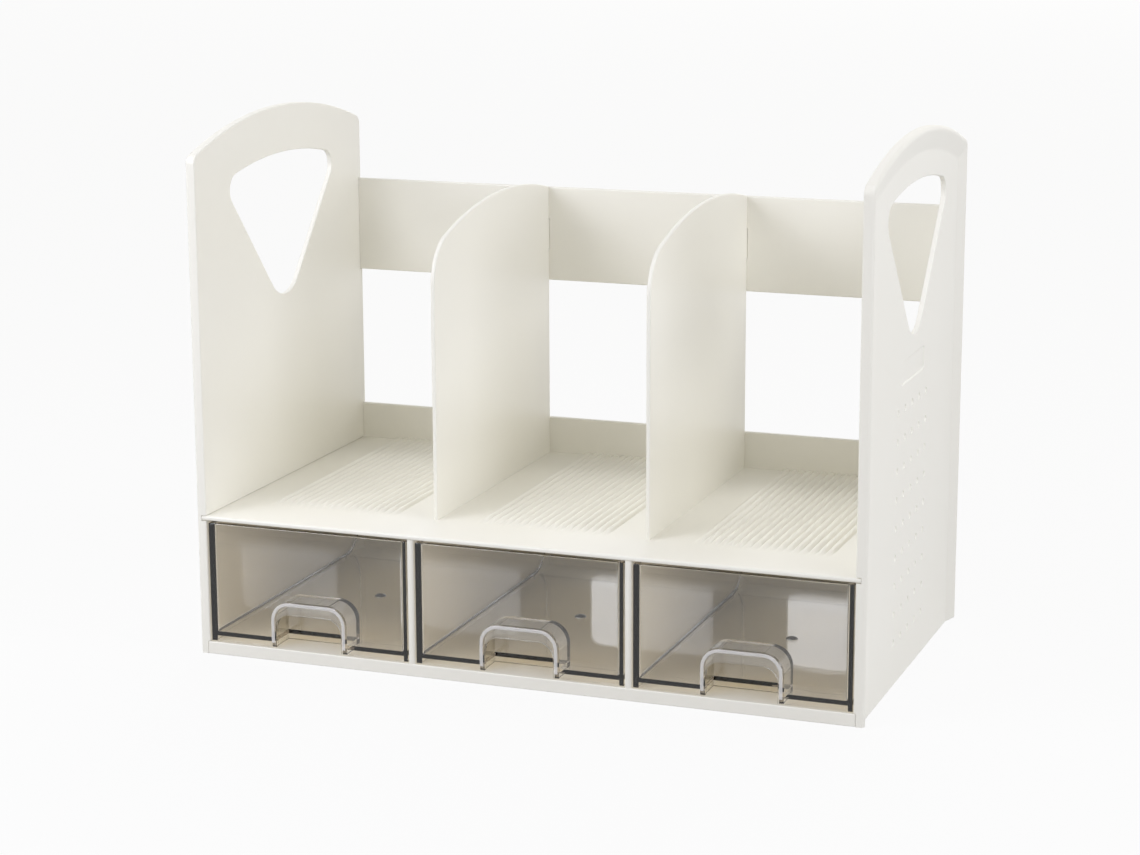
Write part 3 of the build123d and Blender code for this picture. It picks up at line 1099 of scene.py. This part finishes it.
@dataclass
class ShelfDeck(Piece):
    """Ribbed shelf board with a round nose, ears over the panels' front edges and tabs at the back."""

    nose_radius: float = 1.0
    nose_steps: int = 6
    rib_count: int = 17
    rib_pitch: float = 4.0
    rib_width: float = 4.0
    rib_height: float = 1.3
    rib_steps: int = 8
    rib_setback: float = 30.0
    rib_ramp: float = 14.0
    ramp_steps: int = 8

    def section(self) -> tuple[Array, Array, Array]:
        """Side view of the board as a closed loop, from the nose over the top to the back and under.

        Returns:
            Points of shape (n, 2), a mask of the points at the back edge, and each point's rib share.
        """
        here = self.layout
        radius = self.nose_radius
        nose = here.front + radius
        ear_line = here.front + here.joinery.deck_ear_depth
        start = here.front + self.rib_setback
        lower = arc((nose, here.deck_bottom + radius), radius, 3 * QUARTER, pi, self.nose_steps)
        upper = arc((nose, here.deck_top - radius), radius, pi, QUARTER, self.nose_steps)
        ramp = np.linspace(start, start + self.rib_ramp, self.ramp_steps + 1)
        along = np.concatenate(((ear_line,), ramp, (here.back_inner,)))
        top = np.column_stack((along, np.full_like(along, here.deck_top)))
        under = np.array(((here.back_inner, here.deck_bottom), (ear_line, here.deck_bottom)))
        loop = np.concatenate((lower, upper, top, under))
        at_back = np.isclose(loop[:, 0], here.back_inner)
        on_top = np.isclose(loop[:, 1], here.deck_top)
        return loop, at_back, on_top * smooth_step((loop[:, 0] - start) / self.rib_ramp)

    def rib_middles(self) -> Array:
        """Middles of one bay's ribs, measured from the middle of the bay."""
        return (np.arange(self.rib_count) - (self.rib_count - 1) / 2) * self.rib_pitch

    def rib_lift(self, x: Array) -> Array:
        """Share of the rib height across the width: a parabola over each rib, 1 - (2d / width)^2.

        Args:
            x: Places across the board.

        Returns:
            Shares from 0 to 1.
        """
        centres = np.array(self.layout.bay_centres)[:, None]
        distance = np.abs(x[:, None, None] - (centres + self.rib_middles())).min(axis=(1, 2))
        return np.clip(1 - (2 * distance / self.rib_width) ** 2, 0, 1)

    def columns(self) -> tuple[Array, Array]:
        """Places across the board where its section is set down, with a step at each tab's sides.

        Returns:
            Places along X, and whether the back edge stands out as a tab there.
        """
        across = np.linspace(-self.rib_width / 2, self.rib_width / 2, self.rib_steps + 1)
        ribs = (self.rib_middles()[:, None] + across).ravel()
        half = self.layout.joinery.tab_width / 2
        offset = np.concatenate((ribs, (-half, -half, half, half)))
        tab = np.concatenate(((-half < ribs) & (ribs <= half), (False, True, True, False)))
        second = np.concatenate((np.zeros_like(ribs), (0, 1, 0, 1)))
        order = np.lexsort((tab, second, offset))
        centres = np.array(self.layout.bay_centres)[:, None]
        return (centres + offset[order]).ravel(), np.tile(tab[order], len(centres))

    def build(self) -> None:
        """Carry the section across the width, lift the ribs and cut the outermost columns to the ears."""
        here = self.layout
        joint = here.joinery
        loop, at_back, climb = self.section()
        places, tab = self.columns()
        reach = here.inner_half + joint.deck_tongue
        ends = np.array((here.inner_half + joint.deck_ear, reach, reach))
        x = np.concatenate((-ends, places, ends[::-1]))
        tab = np.pad(tab, len(ends))
        limit = np.full_like(x, here.back)
        limit[[0, 1, -2, -1]] = here.front + joint.deck_ear_depth
        y = loop[:, 0] + at_back * tab[:, None] * (here.back - here.back_inner)
        y = np.minimum(y, limit[:, None])
        z = loop[:, 1] + self.rib_height * climb * self.rib_lift(x)[:, None]
        skin = Skin()
        skin.tube(Sheet.YZ.lift(np.stack((y, z), axis=-1), x[:, None]))
        self.mould(skin, "shelf_deck")


@dataclass
class BaseBoard(Piece):
    """Bottom board with a front rail and a back skirt that stand on the desk, and tabs at the back."""

    rail: float = 2.6
    edge: float = 0.6
    edge_steps: int = 4

    def build(self) -> None:
        """Carry the board's side view across the width, with a step at each tab's sides."""
        here = self.layout
        joint = here.joinery
        edge = self.edge
        nose = here.front + edge
        rail_back = here.front + self.rail
        skirt_front = here.back_inner - self.rail
        bottom = here.base_top - joint.board
        lower = arc((nose, edge), edge, 3 * QUARTER, pi, self.edge_steps)
        upper = arc((nose, here.base_top - edge), edge, pi, QUARTER, self.edge_steps)
        tab_edge = np.array(((here.back_inner, here.base_top), (here.back_inner, bottom)))
        under = np.array((
            (here.back_inner, bottom), (here.back_inner, 0), (skirt_front, 0), (skirt_front, bottom),
            (rail_back, bottom), (rail_back, 0),
        ))
        loop = np.concatenate((lower, upper, tab_edge, under))
        at_back = np.repeat((0, 1, 0), (len(lower) + len(upper), len(tab_edge), len(under)))
        reach = here.inner_half + joint.base_tongue
        half = joint.tab_width / 2
        tab_sides = np.array(here.bay_centres)[:, None] + (-half, -half, half, half)
        x = np.concatenate(((-reach,), tab_sides.ravel(), (reach,)))
        tab = np.pad(np.tile((0, 1, 1, 0), len(tab_sides)), 1)
        y = loop[:, 0] + at_back * tab[:, None] * (here.back - here.back_inner)
        z = np.broadcast_to(loop[:, 1], y.shape)
        skin = Skin()
        skin.tube(Sheet.YZ.lift(np.stack((y, z), axis=-1), x[:, None]))
        self.mould(skin, "base_board")


@dataclass
class BackPanel(Piece):
    """Back wall with a window behind each bay and slots for the tabs of the deck and the base."""

    edge: float = 0.8
    window_size: tuple[float, float] = (60.5, 44.0)
    window_bottom: float = 14.0
    window_corner: float = 6.0
    window_edge: float = 0.5
    corner_steps: int = 8

    def build(self) -> None:
        """Build one plate with its windows and slots."""
        here = self.layout
        joint = here.joinery
        reach = here.inner_half + joint.back_tongue
        loops = [rounded_rectangle((0, here.back_top / 2), (2 * reach, here.back_top))]
        radii = [self.edge]
        slot = np.array((joint.tab_width, joint.board)) + 2 * joint.clearance
        height = self.window_bottom + self.window_size[1] / 2
        for centre in here.bay_centres:
            window = rounded_rectangle(
                (centre, height), self.window_size, self.window_corner, self.corner_steps
            )
            slots = [
                rounded_rectangle((centre, top - joint.board / 2), slot)
                for top in (here.deck_top, here.base_top)
            ]
            loops += [window, *slots]
            radii += [self.window_edge, joint.slot_edge, joint.slot_edge]
        skin = Skin()
        skin.plate(Sheet.XZ, loops, (here.back_inner, here.back), radii)
        self.mould(skin, "back_panel")


@dataclass
class TopRail(Piece):
    """Rail across the top of the back, slotted for the tabs of the dividers."""

    edge: float = 0.8

    def build(self) -> None:
        """Build one plate with a slot behind each divider."""
        here = self.layout
        joint = here.joinery
        low, high = here.rail_heights
        reach = here.inner_half + joint.back_tongue
        loops = [rounded_rectangle((0, (low + high) / 2), (2 * reach, high - low))]
        radii = [self.edge]
        for left, right in here.divider_spans:
            slot = np.array((right - left, joint.divider_tab_height)) + 2 * joint.clearance
            loops.append(rounded_rectangle(((left + right) / 2, high - joint.divider_tab_drop), slot))
            radii.append(joint.slot_edge)
        skin = Skin()
        skin.plate(Sheet.XZ, loops, (here.back_inner, here.back), radii)
        self.mould(skin, "top_rail")


@dataclass
class BookDividers(Piece):
    """Upright dividers with an arched top, a round front corner and a tab through the rail."""

    apex: float = 222.0
    apex_setback: float = 127.5
    arch_radius: float = 262.0
    front_setback: float = 31.0
    corner_radius: float = 24.0
    edge: float = 0.8
    sunk: float = 0.8
    arch_steps: int = 48
    corner_steps: int = 24

    def outline(self) -> Array:
        """Closed side view, counter-clockwise: foot, back edge with its tab, arch and front corner.

        The front corner's circle touches the front edge and the arch from within.

        Returns:
            Points of shape (n, 2).
        """
        here = self.layout
        joint = here.joinery
        apex = here.front + self.apex_setback
        front = here.front + self.front_setback
        centre = self.apex - self.arch_radius
        bottom = here.deck_top - self.sunk
        across = front + self.corner_radius - apex
        rise = sqrt((self.arch_radius - self.corner_radius) ** 2 - across**2)
        lean = atan2(rise, across)
        behind = here.back_inner - apex
        back_angle = atan2(sqrt(self.arch_radius**2 - behind**2), behind)
        tab_middle = here.rail_heights[1] - joint.divider_tab_drop
        tab_low = tab_middle - joint.divider_tab_height / 2
        tab_high = tab_middle + joint.divider_tab_height / 2
        foot = np.array((
            (front, bottom), (here.back_inner, bottom), (here.back_inner, tab_low),
            (here.back, tab_low), (here.back, tab_high), (here.back_inner, tab_high),
        ))
        arch = arc((apex, centre), self.arch_radius, back_angle, lean, self.arch_steps)
        corner = arc((apex + across, centre + rise), self.corner_radius, lean, pi, self.corner_steps)
        return np.concatenate((foot, arch, corner[1:]))

    def build(self) -> None:
        """Build a plate for each side."""
        for side, span in zip(Side, self.layout.divider_spans):
            skin = Skin()
            skin.plate(Sheet.YZ, [self.outline()], span, [self.edge])
            self.mould(skin, side.node("book_divider"))


@dataclass
class BayPartitions(Piece):
    """Upright walls between the drawer bays, with a round front edge."""

    front_radius: float = 1.65
    edge_steps: int = 6

    def build(self) -> None:
        """Build each wall from its plan, standing on the base board under the deck."""
        here = self.layout
        radius = self.front_radius
        middle = here.front + radius
        for side in Side:
            node = side.node("bay_partition")
            low, high = node_box(node)
            left = arc((low[0] + radius, middle), radius, pi, 3 * QUARTER, self.edge_steps)
            right = arc((high[0] - radius, middle), radius, 3 * QUARTER, 2 * pi, self.edge_steps)
            back = np.array(((high[0], here.back_inner), (low[0], here.back_inner)))
            plan = np.concatenate((left, right, back))
            skin = Skin()
            skin.tube(np.stack([Sheet.XY.lift(plan, z) for z in (here.base_top, here.deck_bottom)]))
            self.mould(skin, node)


@dataclass
class ClearDrawers(Piece):
    """Smoke-clear drawer tubs: a painted highlight round the finger niche, as a pale strip shaped like a
    rolled edge, and a gate stub on the floor.
    """

    highlight_half: float = 19.1
    highlight_top: float = 29.2
    highlight_corner: float = 8.6
    highlight_width: float = 1.7
    highlight_height: float = 0.35
    highlight_sunk: float = 0.2
    highlight_foot: float = 9.0
    highlight_fade: float = 10.0
    stub_radius: float = 3.0
    stub_height: float = 1.2
    stub_sunk: float = 0.3
    floor_top: float = 11.4
    steps: int = 12

    def roll(self, centre: float, front: float) -> Skin:
        """Painted highlight strip of the niche, shaped as a rolled edge: half an ellipse carried up one
        leg, over the arch and down the other.

        Its height grows from nought at each foot to the full height over the fade, as a smooth step.

        Args:
            centre: Middle of the drawer along X.
            front: Place of the drawer's front face.

        Returns:
            The surfaces of the painted highlight strip.
        """
        inner = self.highlight_half - self.highlight_corner
        middle = self.highlight_top - self.highlight_corner
        leg = np.linspace(self.highlight_foot, middle, self.steps, endpoint=False)
        right = np.column_stack((np.full_like(leg, self.highlight_half), leg))
        half = np.concatenate((right, arc((inner, middle), self.highlight_corner, 0, QUARTER, self.steps)))
        path = np.concatenate((half, half[::-1] * (-1, 1)))
        ahead = unit(np.gradient(path, axis=0))
        out = np.column_stack((ahead[:, 1], -ahead[:, 0]))
        height = self.highlight_height * smooth_step((path[:, 1] - self.highlight_foot) / self.highlight_fade)
        angle = np.linspace(0, pi, self.steps + 1)
        across = np.concatenate((np.cos(angle), (-1, 1))) * self.highlight_width / 2
        lift = np.concatenate((np.sin(angle), (0, 0)))
        sunk = np.concatenate((np.zeros_like(angle), (self.highlight_sunk, self.highlight_sunk)))
        flat = path[:, None] + across[:, None] * out[:, None] + (centre, 0)
        skin = Skin()
        skin.tube(Sheet.XZ.lift(flat, front + sunk - height[:, None] * lift))
        return skin

    def stub(self, centre: float, along: float) -> Skin:
        """Gate stub on the drawer's floor: rings up a ball's cap, over a foot sunk into the floor.

        Args:
            centre: Middle of the drawer along X.
            along: Middle of the drawer along Y.

        Returns:
            The surfaces of the stub.
        """
        radii = np.linspace(self.stub_radius, 0, self.steps, endpoint=False)
        rise = ball_cap(radii, self.stub_radius, self.stub_height)
        height = self.floor_top + np.concatenate(((-self.stub_sunk,), rise))
        circles = rings((centre, along), np.concatenate((radii[:1], radii)), 2 * self.steps)
        skin = Skin()
        skin.tube(Sheet.XY.lift(circles, height[:, None]))
        return skin

    def build(self) -> None:
        """Take each imported tub as a merged smooth mesh, join its stub and lay the painted highlight
        strip on its front.
        """
        for body, centre in zip(DRAWERS, self.layout.bay_centres):
            node = body.value
            low, high = node_box(node)
            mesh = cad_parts[node].data.copy()
            close_mesh(mesh)
            tub = add_object(f"{node}_tub", mesh)
            merge(tub, self.stub(centre, (low[1] + high[1]) / 2).mesh_object("stub"), Change.JOIN)
            close_mesh(tub.data)
            crease_flat_faces(tub.data)
            self.seat(tub, node, self.finishes.smoke, Slot.SMOKE, body)
            # The pale strip laid round the niche is a painted highlight, not a part of the tub.
            roll = self.roll(centre, low[1]).mesh_object(f"{node}_niche_roll")
            smooth(roll)
            self.seat(roll, node, self.finishes.niche_highlight, Slot.SMOKE, body)


def stand(shown: bpy.types.Object, eye: Sequence[float], ahead: Vector, roll: float = 0.0) -> None:
    """Stand a lamp or a camera at a point and turn it to look ahead.

    Args:
        shown: Lamp or camera.
        eye: Where it stands, in metres.
        ahead: Direction in which it looks.
        roll: Turn about that direction, in degrees.
    """
    shown.location = eye
    shown.rotation_mode = "QUATERNION"
    shown.rotation_quaternion = ahead.to_track_quat("-Z", "Y") @ Quaternion((0, 0, 1), radians(roll))


@dataclass(frozen=True)
class Softbox:
    """Square soft light that faces a point, placed in metres."""

    name: str
    eye: Point
    aim: Point
    size: float
    watts: float
    colour: Colour = (0.97, 0.99, 1.08)
    seen: bool = True

    def hang(self) -> None:
        """Add the lamp to the scene."""
        lamp = bpy.data.lights.new(self.name, "AREA")
        lamp.size = self.size
        lamp.energy = self.watts
        lamp.color = self.colour
        shown = add_object(self.name, lamp)
        stand(shown, self.eye, Vector(self.aim) - Vector(self.eye))
        shown.visible_camera = shown.visible_glossy = shown.visible_transmission = self.seen


@dataclass
class Studio:
    """White studio, in metres and degrees: floor, soft lights, world and the photograph's camera."""

    floor_size: float = 40.0
    azimuth: float = 20.52
    elevation: float = 12.78
    roll: float = -0.224
    lens_mm: float = 85.78
    sensor_mm: float = 36.0
    near_limit: float = 0.01
    far_limit: float = 200.0
    eye: Point = (0.4585, -1.2469, 0.4093)
    fill_colour: Colour = (1.0, 0.97, 0.92)
    fill_level: float = 0.41
    softboxes: tuple[Softbox, ...] = (
        Softbox("left_softbox", eye=(-0.8, -0.45, 1.1), aim=(0.0, 0.0, 0.12), size=0.7, watts=2.6),
        Softbox("near_softbox", eye=(-0.5, -0.7, 0.6), aim=(-0.05, 0.0, 0.13), size=0.5, watts=3.6),
        Softbox("side_softbox", eye=(0.9, -0.1, 1.06), aim=(0.0, 0.0, 0.12), size=0.5, watts=4.3),
        Softbox("right_softbox", eye=(1.42, -0.95, 0.42), aim=(0.1, 0.0, 0.08), size=0.7, watts=5.4),
        Softbox(
            "back_softbox", eye=(0.0, 8.0, 1.8), aim=(0.0, 0.0, 0.05), size=5.5, watts=500.0,
            colour=(1.0, 0.98, 0.92), seen=False,
        ),
    )
    clear_bounces: int = 32
    surface_bounces: int = 8

    def lay_floor(self) -> None:
        """Lay a large square floor at desk height."""
        corners = rounded_rectangle((0, 0), (self.floor_size, self.floor_size))
        mesh = bpy.data.meshes.new("floor")
        mesh.from_pydata([(x, y, 0.0) for x, y in corners], [], [tuple(range(len(corners)))])
        mesh.materials.append(PaleFloor().material())
        add_object("floor", mesh)

    def light_world(self) -> None:
        """White surroundings to the eye and in reflections, and an even dim fill as light."""
        world = bpy.data.worlds.new("studio")
        world.use_nodes = True
        bpy.context.scene.world = world
        graph = Graph(world.node_tree)
        fill, seen = (
            graph.node("ShaderNodeBackground", None, {"Color": colour, "Strength": level})
            for colour, level in ((self.fill_colour, self.fill_level), (PURE_WHITE, 1.0))
        )
        mixed = graph.mix_shaders(graph.seen_ray(), fill, seen)
        graph.node("ShaderNodeOutputWorld", None, {"Surface": mixed})

    def set_camera(self) -> None:
        """Place the camera at the photograph's view."""
        across, up = radians(self.azimuth), radians(self.elevation)
        back = Vector((sin(across) * cos(up), -cos(across) * cos(up), sin(up)))
        camera = bpy.data.cameras.new("photo_view")
        camera.lens = self.lens_mm
        camera.sensor_width = self.sensor_mm
        camera.clip_start = self.near_limit
        camera.clip_end = self.far_limit
        shown = add_object("photo_view", camera)
        stand(shown, self.eye, -back, self.roll)
        bpy.context.scene.camera = shown

    def build(self) -> None:
        """Set up the whole studio."""
        bpy.context.scene.view_settings.view_transform = "Standard"
        cycles = bpy.context.scene.cycles
        cycles.max_bounces = self.clear_bounces
        cycles.transmission_bounces = self.clear_bounces
        cycles.glossy_bounces = self.surface_bounces
        cycles.diffuse_bounces = self.surface_bounces
        self.lay_floor()
        self.light_world()
        for softbox in self.softboxes:
            softbox.hang()
        self.set_camera()


def main() -> None:
    """Build and dress every sub-assembly, then the studio."""
    logging.basicConfig(level=logging.INFO, format="%(name)s: %(message)s")
    finishes = Finishes(WhitePlastic().material(), SmokePlastic().material(), PaintedNicheHighlight().material())
    layout = Layout.read(Joinery())
    sub_assemblies = (
        SidePanels, ShelfDeck, BaseBoard, BackPanel, TopRail, BookDividers, BayPartitions, ClearDrawers,
    )
    for sub_assembly in sub_assemblies:
        sub_assembly(layout, finishes).build()
    Studio().build()


if __name__ == "__main__":
    main()
